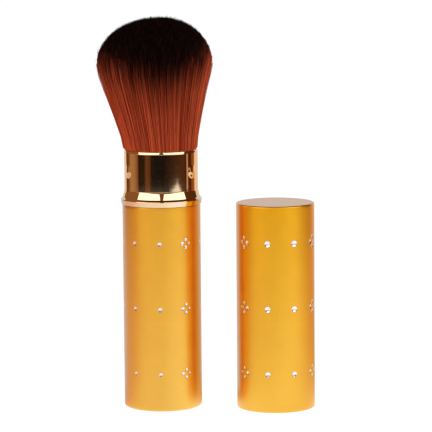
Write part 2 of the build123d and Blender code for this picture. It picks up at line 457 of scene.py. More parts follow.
@dataclass(frozen=True)
class MillAluminium(Finish):
    """Aluminium tube as it leaves the drawing bench: pale grey, with fine lines along it."""

    label: ClassVar[str] = "mill_aluminium"
    colour: str = "cfd0d1"
    # Drawing lines stand 0.2 mm apart round the tube and run its whole length
    lines_per_metre: Triple = (5000.0, 5000.0, 60.0)

    def surface(self, tree: Tree) -> dict[str, Any]:
        """Adds the drawing lines as streaks of gloss.

        Args:
            tree: The material's node tree.

        Returns:
            The inputs of the principled shader, by name.
        """
        place = add_node(tree, "TexCoord")["Object"]
        along = add_node(tree, "Mapping", {"Vector": place, "Scale": self.lines_per_metre})[0]
        lines = add_node(tree, "TexNoise", {"Vector": along, "Scale": 1.0, "Detail": 2.0})[0]
        rough = add_node(tree, "MapRange", {"Value": lines, "To Min": 0.25, "To Max": 0.45})[0]
        return {"Base Color": linear(self.colour), "Metallic": 1.0, "Roughness": rough}


@dataclass(frozen=True)
class CastEpoxy(Finish):
    """Epoxy, poured over the hair roots and cured: amber, glossy, with cloudy soaked places."""

    label: ClassVar[str] = "cast_epoxy"
    clear: str = "b98d45"
    cloudy: str = "8f6a35"
    # Soaked places are about 2 mm across
    clouds_per_mm: float = 0.5

    def surface(self, tree: Tree) -> dict[str, Any]:
        """Clouds the resin where the roots soaked it up.

        Args:
            tree: The material's node tree.

        Returns:
            The inputs of the principled shader, by name.
        """
        place = add_node(tree, "TexCoord")["Object"]
        soaked = {"Vector": place, "Scale": self.clouds_per_mm / MM, "Detail": 3.0}
        cloud = add_node(tree, "TexNoise", soaked)[0]
        tones = {0: cloud, 6: linear(self.cloudy), 7: linear(self.clear)}
        colour = add_node(tree, "Mix", tones, data_type="RGBA")[2]
        return {"Base Color": colour, "Roughness": 0.18, "IOR": 1.55}


@dataclass(frozen=True)
class TwistedCotton(Finish):
    """Cotton cord, two plies twisted: off-white and dull, with fine fuzz."""

    label: ClassVar[str] = "twisted_cotton"
    colour: str = "d9d1bf"
    shade: str = "b3a98f"
    # Single yarns are 0.05 mm thick, drawn 0.1 mm thick
    yarns_per_mm: float = 10.0

    def surface(self, tree: Tree) -> dict[str, Any]:
        """Mottles the cord yarn by yarn.

        Args:
            tree: The material's node tree.

        Returns:
            The inputs of the principled shader, by name.
        """
        place = add_node(tree, "TexCoord")["Object"]
        spun = {"Vector": place, "Scale": self.yarns_per_mm / MM, "Detail": 2.0}
        yarn = add_node(tree, "TexNoise", spun)[0]
        tones = {0: yarn, 6: linear(self.shade), 7: linear(self.colour)}
        colour = add_node(tree, "Mix", tones, data_type="RGBA")[2]
        return {"Base Color": colour, "Roughness": 0.9, "Sheen Weight": 0.3}


@dataclass(frozen=True)
class DippedBrushHair(Finish):
    """Synthetic taklon hair, drawn and dyed red-brown, its tips dipped near black.

    Fine streaks run with the hair, lighter where a lock stands out, and the dark tips begin in a
    ragged line. Where a tip's tint is high, it is painted paler as light shining through it.
    """

    label: ClassVar[str] = "dipped_brush_hair"
    deep: str = "7c1b08"
    light: str = "dc5f38"
    dark: str = "080101"
    # Painted light through the tips: the palest colour of a dipped tip
    dark_tip_glow: str = "5a281f"
    # The tints at which a dipped tip is darkest and palest; the palest paints light shining through the
    # tip
    dark_span: Pair = (0.6, 1.8)

    def surface(self, tree: Tree) -> dict[str, Any]:
        """Colours each hair by its own tint and its dark share; a high tint pales the dark tip as painted
        light.

        Args:
            tree: The material's node tree.

        Returns:
            The inputs of the principled shader, by name.
        """
        tint = add_node(tree, "Attribute", attribute_name="hair_tint")["Fac"]
        dip = add_node(tree, "Attribute", attribute_name="tip_dip")["Fac"]
        # Painted light through the tips: a high tint pales the dark tip towards its glow colour
        darkest, palest = self.dark_span
        pale = add_node(tree, "MapRange", {"Value": tint, "From Min": darkest, "From Max": palest})[0]
        brown, black = (
            add_node(tree, "Mix", {0: share, 6: linear(low), 7: linear(high)}, data_type="RGBA")[2]
            for share, low, high in ((tint, self.deep, self.light), (pale, self.dark, self.dark_tip_glow))
        )
        colour = add_node(tree, "Mix", {0: dip, 6: brown, 7: black}, data_type="RGBA")[2]
        return {"Base Color": colour, "Roughness": 0.55, "Specular IOR Level": 0.05}


def dress(piece: bpy.types.Object, material: Material, body: Rides, slot: Slot, *nodes: str) -> None:
    """Gives a finished piece its material and its body, and hides the nodes that it stands for.

    Args:
        piece: The piece, in place.
        material: Its finish.
        body: What it moves with.
        slot: The record's slot for its finish; not used.
        *nodes: The model's nodes that it replaces.
    """
    piece.data.materials.clear()
    piece.data.materials.append(material)
    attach(piece, body.value)
    if nodes:
        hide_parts(*nodes)
    LOG.info("%s: %d faces, on %s", piece.name, len(piece.data.polygons), body.value)


# Sub-assemblies


@dataclass
class DrawnTube:
    """A deep-drawn aluminium cup with rows of bright-cut dimples: the body, or the cap upside down.

    The skin is a cylinder, and each dimple is the part of a ball that reaches into it.
    """

    name: str
    body: Rides
    length: float
    edge_radius: float
    first_angle: float
    dot_width: float
    petal_width: float
    petal_reach: float
    centre: Pair = (0.0, 0.0)
    mouth_up: bool = True
    radius: float = 12.5
    wall: float = 0.55
    rim_radius: float = 0.12
    inside_edge_radius: float = 0.3
    cutter_radius: float = 2.2
    row_spacing: float = 20.95
    row_lift: float = 0.2
    row_width_shares: tuple[float, ...] = (0.85, 0.97, 1.0)
    places: int = 9
    flower_every: int = 3
    # Grid lines stand this close across the dimples and this margin, and this far apart elsewhere
    fine_grid: float = 0.12
    wide_grid: float = 0.9
    grid_margin: float = 0.15
    # Grid rings round the outer edge, and round each half of the rim and the inside edge
    edge_grid: int = 10
    rim_grid: int = 5
    # Where the few grid rings of the outer floor, the bore and the inner floor stand
    floor_shares: tuple[float, ...] = (0.08, 0.3, 0.55, 0.8, 0.93)
    bore_shares: tuple[float, ...] = (0.9, 0.6, 0.3, 0.1)
    inner_floor_shares: tuple[float, ...] = (0.85, 0.5, 0.2)
    finish: SatinGoldAnodised = field(default_factory=SatinGoldAnodised)

    def row_heights(self) -> np.ndarray:
        """Gives the height of each row of dimples above the floor."""
        rows = np.arange(len(self.row_width_shares))
        return self.length / 2 + self.row_lift + (rows - rows.mean()) * self.row_spacing

    def cutters(self) -> np.ndarray:
        """Places the cutting balls: one for a dot, and four in a cross for a flower.

        Returns:
            Each dimple's angle in radians, height above the floor, and width at the skin.
        """
        found = []
        turn = self.petal_reach / self.radius
        for height, share in zip(self.row_heights(), self.row_width_shares):
            width = share * self.petal_width
            for place in range(self.places):
                angle = radians(self.first_angle + 360 * place / self.places)
                if place % self.flower_every:
                    found.append((angle, height, share * self.dot_width))
                    continue
                found += [(angle + turn, height, width), (angle - turn, height, width)]
                found += [(angle, height + self.petal_reach, width)]
                found += [(angle, height - self.petal_reach, width)]
        return np.array(found)

    def columns(self) -> np.ndarray:
        """Spaces the grid's columns, close together across each place that has a dimple.

        Returns:
            Their angles in radians.
        """
        step = tau / self.places
        start = radians(self.first_angle) - step / 2
        flower, dot = self.petal_reach + self.petal_width / 2, self.dot_width / 2
        centres = [
            (
                (start + (place + 0.5) * step) * self.radius,
                (dot if place % self.flower_every else flower) + self.grid_margin,
            )
            for place in range(self.places)
        ]
        first, last = start * self.radius, (start + tau) * self.radius
        lines = graded_lines(first, last, centres, self.fine_grid, self.wide_grid)
        return lines[:-1] / self.radius

    def profile(self) -> tuple[np.ndarray, slice]:
        """Draws the cup's section with its mouth up.

        It runs from the axis across the outside of the closed end, round the edge, up the skin,
        over the rim, down the inside and back to the axis.

        Returns:
            Its points as distance and height, and which of them are the skin.
        """
        heights = self.row_heights() if self.mouth_up else self.length - self.row_heights()
        reach = self.petal_reach + self.petal_width / 2 + self.grid_margin
        outer, inner, rim = self.radius, self.radius - self.wall, self.rim_radius
        edge, inside_edge, floor = self.edge_radius, self.inside_edge_radius, self.wall
        flat, top = outer - edge, self.length - rim
        rows = [(height, reach) for height in heights]
        skin = graded_lines(edge, top, rows, self.fine_grid, self.wide_grid)
        parts = [
            np.array([(flat * share, 0.0) for share in self.floor_shares]),
            arc((flat, edge), edge, -90, 0, self.edge_grid)[:-1],
            np.stack((np.full(len(skin), outer), skin), axis=-1),
            arc((outer - rim, top), rim, 0, 90, self.rim_grid)[1:],
            arc((inner + rim, top), rim, 90, 180, self.rim_grid),
            np.array([(inner, self.length * share) for share in self.bore_shares]),
            arc((inner - inside_edge, floor + inside_edge), inside_edge, 0, -90, self.rim_grid),
            np.array([(inner * share, floor) for share in self.inner_floor_shares]),
        ]
        first = len(parts[0]) + len(parts[1])
        return np.concatenate(parts), slice(first, first + len(skin))

    def build(self) -> None:
        """Builds the cup as one closed surface of revolution and cuts its dimples.

        At an angle a and a height h from a cutter whose centre is c from the axis, the cut
        surface is at c times cos a, less the root of the cutter's radius squared less h squared
        less c times sin a squared. The skin is the lesser of that and the tube's radius. Each
        point also keeps how far inside the nearest dimple's edge it lies.
        """
        section, skin = self.profile()
        angles = self.columns()
        count = len(angles)
        far_outside = -9.0
        reach = np.repeat(section[:, :1], count, axis=1)
        edge = np.full_like(reach, far_outside)
        level = (section[:, 1] if self.mouth_up else self.length - section[:, 1])[:, None]
        for angle, rise, width in self.cutters():
            out = self.radius + sqrt(self.cutter_radius**2 - (width / 2) ** 2)
            turn = (angles - angle + pi) % tau - pi
            drop = level[skin] - rise
            inside = self.cutter_radius**2 - drop**2 - (out * np.sin(turn)) ** 2
            cut = out * np.cos(turn) - np.sqrt(np.maximum(inside, 0.0))
            near = (inside > 0) & (np.cos(turn) > 0)
            reach[skin] = np.where(near, np.minimum(reach[skin], cut), reach[skin])
            edge[skin] = np.maximum(edge[skin], width / 2 - np.hypot(self.radius * turn, drop))
        points = turned(reach, angles, level, self.centre).reshape(-1, 3)
        poles = [(*self.centre, z if self.mouth_up else self.length - z) for z in (0.0, self.wall)]
        ring = np.arange(count)
        after, last = (ring + 1) % count, (len(section) - 1) * count
        first_pole, last_pole = np.full(count, len(points)), np.full(count, len(points) + 1)
        fans = np.concatenate(
            (
                np.stack((first_pole, after, ring), axis=-1),
                np.stack((last_pole, last + ring, last + after), axis=-1),
            )
        )
        quads = grid_quads(len(section), count)
        if not self.mouth_up:
            quads, fans = quads[:, ::-1], fans[:, ::-1]
        piece = make_object(
            self.name + "_dressed",
            np.concatenate((points, poles)),
            (quads, fans),
            {"cut_edge": np.append(edge, (far_outside, far_outside))},
        )
        finish = replace(self.finish, centre=self.centre)
        dress(piece, finish.material(), self.body, Slot.GOLD, self.name)


@dataclass
class Collar:
    """The polished ring with its tapered band, its cove, its drawn-in lip and three bumps."""

    bottom: float = 65.65
    mouth: float = 83.2
    radius: float = 11.8
    wall: float = 0.45
    lip_height: float = 1.0
    lip_draw: float = 0.15
    lip_round: float = 0.17
    lip_drop: float = 0.2
    # The bore is straight between these, one below the mouth and one above the foot, and flares
    # from there down to the band's own bore
    bore_drop: float = 1.2
    bore_foot: float = 4.9
    flare_foot: float = 2.0
    band_bore: float = 12.05
    foot_chamfer: Pair = (0.04, 0.06)
    # How many degrees the skin looks up, at each length along the section from the foot, and from
    # the wall's top
    foot_tilts: tuple[Pair, ...] = (
        (0.0, -60.0), (0.1, -9.5), (1.5, -8.0), (1.62, 12.0), (1.78, 44.0), (2.4, 42.0),
        (2.6, 21.0), (4.75, 9.5), (5.0, 0.0),
    )
    lip_tilts: tuple[Pair, ...] = (
        (0.0, 0.0), (0.15, 9.0), (0.68, 17.0), (0.8, 55.0), (1.3, 88.0),
    )
    # The ends of the foot's chamfer, band and cove along the section, and the grid steps in each
    foot_grid: tuple[tuple[float, float, int], ...] = ((0.0, 0.1, 4), (0.1, 1.5, 7), (1.5, 5.1, 45))
    lip_grid: int = 32
    # Grid rings round the lip's inner edge, down the bore and down the flare
    round_grid: int = 5
    bore_grid: int = 40
    flare_grid: int = 8
    fine_grid: float = 0.2
    wide_grid: float = 1.0
    bump_height: float = 0.17
    bump_reach: float = 2.35
    bump_flank: float = 1.95
    bump_zone: float = 2.4
    bump_level: float = 76.55
    bump_angles: tuple[float, ...] = (-32.0, 88.0, 208.0)
    columns: int = 400
    finish: PolishedPaleGold = field(default_factory=PolishedPaleGold)

    def outside(self) -> np.ndarray:
        """Draws the outer section from its foot to the top of its lip by the tilt of its skin.

        Each step along the section goes up by the tilt's cosine and inwards by its sine, and the
        sums give the outline. The band looks down, the cove up, the wall straight out, and the lip
        rolls in. The sums are then shifted and stretched to the wall's radius and the height.

        Returns:
            Its points as distance and height.
        """
        wall_top = self.mouth - self.lip_height - self.bottom
        lip = [(wall_top + run, tilt) for run, tilt in self.lip_tilts]
        runs, tilts = np.array([*self.foot_tilts, *lip]).T
        cove_end = self.foot_grid[-1][1]
        bumps = [(self.bump_level - self.bottom, self.bump_zone)]
        wall = graded_lines(cove_end, wall_top, bumps, self.fine_grid, self.wide_grid)
        run = np.concatenate(
            [np.linspace(start, end, steps, endpoint=False) for start, end, steps in self.foot_grid]
            + [wall[:-1], np.linspace(wall_top, runs[-1], self.lip_grid)]
        )
        samples = 8001
        fine = np.linspace(0.0, run[-1], samples)
        tilt = np.radians(np.interp(fine, runs, tilts))
        rise = np.concatenate(([0.0], np.cumsum(np.cos(tilt[1:]) * fine[1])))
        draw = np.concatenate(([0.0], np.cumsum(np.sin(tilt[1:]) * fine[1])))
        reach = self.radius + np.interp(wall_top, fine, draw) - np.interp(run, fine, draw)
        height = np.interp(run, fine, rise)
        height *= (self.mouth - self.bottom) / height[-1]
        return np.stack((reach, self.bottom + height), axis=-1)

    def inside(self) -> np.ndarray:
        """Draws the inner section from the lip down the straight bore and the flare to the foot.

        The flare's distance grows as the square of the way down it.

        Returns:
            Its points as distance and height.
        """
        bore = self.radius - self.wall
        round_centre = (bore - self.lip_draw + self.lip_round, self.mouth - self.lip_drop)
        top, foot_level = self.mouth - self.bore_drop, self.bottom + self.bore_foot
        levels = np.linspace(top, foot_level, self.bore_grid)
        down = np.linspace(0.0, 1.0, self.flare_grid + 1)[1:]
        flare = bore + (self.band_bore - bore) * down**2
        drop = foot_level - (self.bore_foot - self.flare_foot) * down
        across, up = self.foot_chamfer
        foot = [(self.band_bore, self.bottom + up), (self.band_bore + across, self.bottom)]
        return np.concatenate(
            (
                arc(round_centre, self.lip_round, 90, 180, self.round_grid),
                np.stack((np.full(len(levels), bore), levels), axis=-1),
                np.stack((flare, drop), axis=-1),
                foot,
            )
        )

    def build(self) -> None:
        """Builds the ring as one closed section turned round the axis, with its bumps.

        A bump lifts the skin, on the outside and the inside alike, by its height times a smooth
        step from its reach inwards over its flank, so that its middle is even.
        """
        section = np.concatenate((self.outside(), self.inside()))
        angles = np.linspace(0.0, tau, self.columns, endpoint=False)
        reach, height = (np.repeat(part[:, None], self.columns, axis=1) for part in section.T)
        for angle in self.bump_angles:
            turn = (angles - radians(angle) + pi) % tau - pi
            away = np.hypot(self.radius * turn, height - self.bump_level)
            reach += self.bump_height * smoothstep((self.bump_reach - away) / self.bump_flank)
        faces = grid_quads(len(section), self.columns, joined=True)
        piece = make_object("collar_dressed", turned(reach, angles, height), (faces,))
        dress(piece, self.finish.material(), Rides.COLLAR, Slot.PALE_GOLD, "collar")


@dataclass
class InnerWorks:
    """The plastic and metal parts inside, which show when the collar is up or taken apart."""

    tie_reach: float = 9.0
    ply_radius: float = 0.13
    ply_offset_share: float = 0.9
    twists: int = 60
    ring_steps: int = 720
    ply_sides: int = 8
    merge_within: float = 0.001
    sharp_from: float = 28.0
    plastic: MouldedBlackPlastic = field(default_factory=MouldedBlackPlastic)
    metal: MillAluminium = field(default_factory=MillAluminium)
    resin: CastEpoxy = field(default_factory=CastEpoxy)
    cotton: TwistedCotton = field(default_factory=TwistedCotton)

    def smooth_copy(self, node: str, material: Material, body: Rides, slot: Slot) -> None:
        """Replaces a node by a merged copy of its mesh, smooth up to its sharp edges.

        Args:
            node: The node's name.
            material: Its finish.
            body: What it moves with.
            slot: The record's slot for its finish.
        """
        mesh = bpy.data.objects[node].data.copy()
        mesh.name = node + "_dressed"
        shape = bmesh.new()
        shape.from_mesh(mesh)
        bmesh.ops.remove_doubles(shape, verts=shape.verts, dist=self.merge_within * MM)
        shape.to_mesh(mesh)
        shape.free()
        mesh.shade_smooth()
        mesh.set_sharp_from_angle(angle=radians(self.sharp_from))
        piece = bpy.data.objects.new(node + "_dressed", mesh)
        bpy.context.scene.collection.objects.link(piece)
        dress(piece, material, body, slot, node)

    def tie(self, level: float) -> None:
        """Builds the binding cord as two plies that wind round each other along a ring.

        Each ply's centre is the ring's plus a little less than one ply's radius, which turns as it
        goes, half a turn apart. Round it the skin stands one ply's radius out.

        Args:
            level: The ring's height.
        """
        along = np.linspace(0.0, tau, self.ring_steps, endpoint=False)[:, None]
        around = np.linspace(0.0, tau, self.ply_sides, endpoint=False)
        offset = self.ply_radius * self.ply_offset_share
        plies = []
        for start in (0.0, pi):
            turn = self.twists * along + start
            skin = self.tie_reach + offset * np.cos(turn) + self.ply_radius * np.cos(around)
            height = level + offset * np.sin(turn) + self.ply_radius * np.sin(around)
            plies.append(turned(skin, along, height).reshape(-1, 3))
        quads = grid_quads(len(along), len(around), joined=True)[:, ::-1]
        faces = (quads, quads + len(plies[0]))
        piece = make_object("hair_tie_dressed", np.concatenate(plies), faces)
        dress(piece, self.cotton.material(), Rides.HANDLE, Slot.CORD, "hair_tie")

    def build(self) -> None:
        """Builds every inner part."""
        plastic = self.plastic.material()
        low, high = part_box("hair_tie")
        for node in ("body_liner", "base_plug", "head_post"):
            self.smooth_copy(node, plastic, Rides.HANDLE, Slot.PLASTIC)
        self.smooth_copy("slide_sleeve", plastic, Rides.COLLAR, Slot.PLASTIC)
        self.smooth_copy("head_ferrule", self.metal.material(), Rides.HANDLE, Slot.PLAIN)
        self.smooth_copy("hair_glue", self.resin.material(), Rides.HANDLE, Slot.EPOXY)
        self.tie((low.z + high.z) / 2 / MM)


@dataclass(frozen=True)
class HairLayer:
    """A layer of the hair between two shares of the radius, and its sectors."""

    label: str
    low: float
    high: float
    sectors: int
    # A distance from the axis and a share for each sector; a sector whose distance is not nought gets its
    # own copy of its mesh.
    anchor: float = 0.0
    keep: float = 1.0


@dataclass
class HairHead:
    """The domed hair: many thousand fine tapered hairs from the ferrule to the dome."""

    count: int = 23000
    golden_angle: float = 137.508
    seed: int = 7
    root_level: float = 63.6
    ferrule_mouth: float = 76.0
    ferrule_reach: float = 9.05
    mouth: float = 83.2
    widest: float = 110.1
    dome_height: float = 14.9
    dome_power: float = 2.12
    root_width: float = 0.2
    tip_width: float = 0.11
    thickness: Pair = (0.8, 1.2)
    # Rings of locks, and how many locks each ring has more than the last
    lock_rings: int = 34
    locks_per_ring: int = 6
    lock_ragged: float = 0.25
    # How far hairs stray from the spiral: in share of the radius and in radians
    share_stray: float = 0.007
    angle_stray: float = 0.008
    # How far a lock draws together at most, and how the lengths of locks and hairs vary
    pull: float = 0.07
    lock_shift: float = 0.002
    lock_length: float = 0.15
    hair_length: float = 0.22
    bend: float = 0.09
    wave: float = 0.08
    # Some hairs are longer, thinner and paler than the rest; their paleness, most towards the outline,
    # is painted light shining through their thin tips
    long_share: float = 0.15
    long_extra: float = 0.75
    long_thickness: float = 0.7
    long_glow_tint: float = 0.25
    # A few of the outermost stand away
    loose_share: float = 0.02
    loose_from: float = 0.9
    loose_reach: Pair = (0.15, 1.1)
    loose_thickness: float = 0.5
    # The dark tips' border, at the axis, and how much higher it is at the left and right edges. The
    # extra height at the sides is partly painted rim light, as it leaves the side hair lighter.
    dip_level: float = 102.9
    dip_depth: float = 14.5
    dip_rise_left: float = 6.8
    dip_rise_right: float = 10.0
    dip_ragged: float = 1.3
    # Where a hair's tint lies between the deep and the light dye, and how it varies
    tint: float = 0.32
    lock_tint: float = 0.07
    hair_tint: float = 0.34
    # Painted rim light: what the outermost hairs' tint gains all round, on the left and on the right
    rim_light_tints: Triple = (0.2, 0.4, 0.35)
    # Painted light through the tips: each hair's last point gains this much tint
    tip_glow_tint: float = 0.3
    finish: DippedBrushHair = field(default_factory=DippedBrushHair)
    # The last layer's upper share is past the edge, so that it takes in the edge itself
    layers: tuple[HairLayer, ...] = (
        HairLayer("core", 0.0, 0.45, 2),
        HairLayer("middle", 0.45, 0.75, 12, 4.0, 0.35),
        HairLayer("outer", 0.75, 2.0, 24, 8.0, 0.1),
    )
    # The points of each hair above the collar's mouth, as shares of the way from there to its tip
    stations: tuple[float, ...] = (0.0, 0.015, 0.15, 0.4, 0.65, 0.85, 0.985, 1.0)
    # The outline above the mouth: share of the way to the tip, reach, and lean to -X
    outline: tuple[Triple, ...] = (
        (0.0, 11.3, 0.05), (0.015, 11.85, 0.2), (0.15, 12.35, 0.4), (0.34, 13.65, 0.8),
        (0.53, 15.05, 1.2), (0.72, 16.6, 1.6), (0.9, 18.1, 1.85), (1.0, 18.5, 1.7),
    )

    def paths(self) -> tuple[np.ndarray, ...]:
        """Lays out every hair's centre line.

        The roots stand on a sunflower spiral: the share of the radius is the root of the hair's
        number over the count, and the angle grows by the golden angle. The share is the same all
        along a hair. Its tip is above the widest level by the dome's height times the root of one
        less the share to the dome's power. Small bends, shared or single, make locks. Hairs of one
        lock share a ring and a sector of it. The dark part begins at a border that climbs towards
        the edges with the share squared, and fades in over its depth.

        Returns:
            The points of the lines, the width at each, the dark share at each, each hair's tint,
            its share of the radius and its angle.
        """
        dice, count = np.random.default_rng(self.seed), self.count
        index = np.arange(count)
        share = np.sqrt((index + 0.5) / count)
        angle = (index * radians(self.golden_angle)) % tau
        share = np.clip(share + dice.normal(0, self.share_stray, count), 0.005, 1.0)
        angle = angle + dice.normal(0, self.angle_stray, count)
        ring = np.floor(share * self.lock_rings)
        ragged = dice.uniform(-self.lock_ragged, self.lock_ragged, count)
        sector = np.floor(angle / tau * np.maximum(self.locks_per_ring * ring, 1) + ragged)
        label = ring * self.count + sector
        _, lock, size = np.unique(label, return_inverse=True, return_counts=True)
        lock, locks = lock.ravel(), len(size)
        place = share * np.stack((np.cos(angle), np.sin(angle)))
        middle = np.stack([np.bincount(lock, axis, locks) / size for axis in place])
        pull = dice.uniform(0.0, self.pull, locks)[lock]
        drift = np.stack([dice.normal(0, self.lock_shift, locks)[lock] for _ in place])
        shift = pull * (middle[:, lock] - place) + drift
        length = dice.normal(0, self.lock_length, locks)[lock] + dice.normal(0, self.hair_length, count)
        long = dice.random(count) < self.long_share
        length = length + np.where(long, dice.uniform(0.0, self.long_extra, count), 0.0)
        tip = self.widest + self.dome_height * np.sqrt(1 - share**self.dome_power) + length
        along, reaches, leans = np.array(self.outline).T
        reach = np.append([self.ferrule_reach] * 2, np.interp(self.stations, along, reaches))
        lean = np.append([0.0] * 2, np.interp(self.stations, along, leans))
        grow = np.append([0.0] * 2, self.stations)
        level = self.mouth + grow * (tip[:, None] - self.mouth)
        level[:, :2] = self.root_level, self.ferrule_mouth
        flat = (place[:, :, None] + shift[:, :, None] * grow) * reach
        flat[0] -= share[:, None] * lean
        bend = dice.normal(0, self.bend, (count, 2)).T[:, :, None] * np.sin(pi * grow**1.3)
        wave = dice.normal(0, self.wave, (count, 2)).T[:, :, None] * grow**2
        loose = (dice.random(count) < self.loose_share) & (share > self.loose_from)
        away = np.where(loose, dice.uniform(*self.loose_reach, count), 0.0)[:, None] * grow**2
        flat += bend + wave + away * (place / share)[:, :, None]
        lines = np.stack((*flat, level), axis=-1)
        thick = np.where(loose, self.loose_thickness, dice.uniform(*self.thickness, count))
        thick = np.where(long, self.long_thickness, thick)
        width = (self.root_width + (self.tip_width - self.root_width) * grow**3) * thick[:, None]
        left, right = np.maximum(-np.cos(angle), 0.0), np.maximum(np.cos(angle), 0.0)
        # The border's extra climb at the left and right partly paints rim light on the side hair
        rise = self.dip_rise_left * left + self.dip_rise_right * right**2.4
        border = self.dip_level + rise * share**2 + dice.normal(0, self.dip_ragged, locks)[lock]
        border = border + dice.normal(0, self.dip_ragged, count)
        dip = smoothstep((level - border[:, None]) / self.dip_depth + 0.5)
        tint = self.tint + dice.normal(0, self.lock_tint, locks)[lock]
        # Painted light through thin tips: long hairs are paler, most towards the outline
        tint = tint + dice.normal(0, self.hair_tint, count) + self.long_glow_tint * long * share**2
        # Painted rim light: the outermost hairs are paler all round, and most at the left and right
        around, on_left, on_right = self.rim_light_tints
        tint = tint + (around + on_left * left**2 + on_right * right**6) * share**8
        return lines, width, dip, np.clip(tint, 0.0, 1.0), share, angle

    def skin(self, lines: np.ndarray, width: np.ndarray) -> tuple[np.ndarray, list[np.ndarray]]:
        """Wraps each centre line in a three-sided skin that ends in a point.

        At each station three corners stand half a width out, a third of a turn apart, in the level
        plane. The last station is one point, and the root is closed by one face.

        Args:
            lines: The centre lines, hair by hair and station by station.
            width: The width at each station.

        Returns:
            All points, and the arrays of faces.
        """
        hairs, stations = lines.shape[:2]
        corner = np.arange(3)
        offset = turned(1.0, tau * corner / 3, 0.0)
        rings = lines[:, :-1, None, :] + width[:, :-1, None, None] / 2 * offset
        size = 3 * (stations - 1) + 1
        points = np.concatenate((rings.reshape(hairs, -1, 3), lines[:, -1:, :]), axis=1)
        base = (np.arange(hairs) * size)[:, None, None]
        last = 3 * (stations - 2)
        tips = np.stack((last + corner, last + (corner + 1) % 3, np.full(3, size - 1)), axis=-1)
        ends = np.concatenate([(faces + base).reshape(-1, 3) for faces in (tips, [[0, 2, 1]])])
        return points, [(grid_quads(stations - 1, 3) + base).reshape(-1, 4), ends]

    def build(self) -> None:
        """Builds the hair in layers and sectors, each a piece of its own."""
        lines, width, dip, tint, share, angle = self.paths()
        material = self.finish.material()
        last = lines.shape[1] - 1
        at = np.append(np.repeat(np.arange(last), 3), last)
        for layer in self.layers:
            place = np.floor((angle % tau) / tau * layer.sectors).astype(int)
            within = (share >= layer.low) & (share < layer.high)
            for sector in range(layer.sectors):
                chosen = within & (place == sector)
                points, faces = self.skin(lines[chosen], width[chosen])
                # Painted light through the tips: the last point of each hair is paler
                tints = tint[chosen, None] + self.tip_glow_tint * (at == last)
                shades = {"tip_dip": dip[chosen][:, at], "hair_tint": tints}
                piece = make_object(f"hair_{layer.label}_{sector:02d}", points, faces, shades)
                dress(piece, material, Rides.HANDLE, Slot.HAIR, "bristles")
                if layer.anchor:
                    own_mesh(piece)


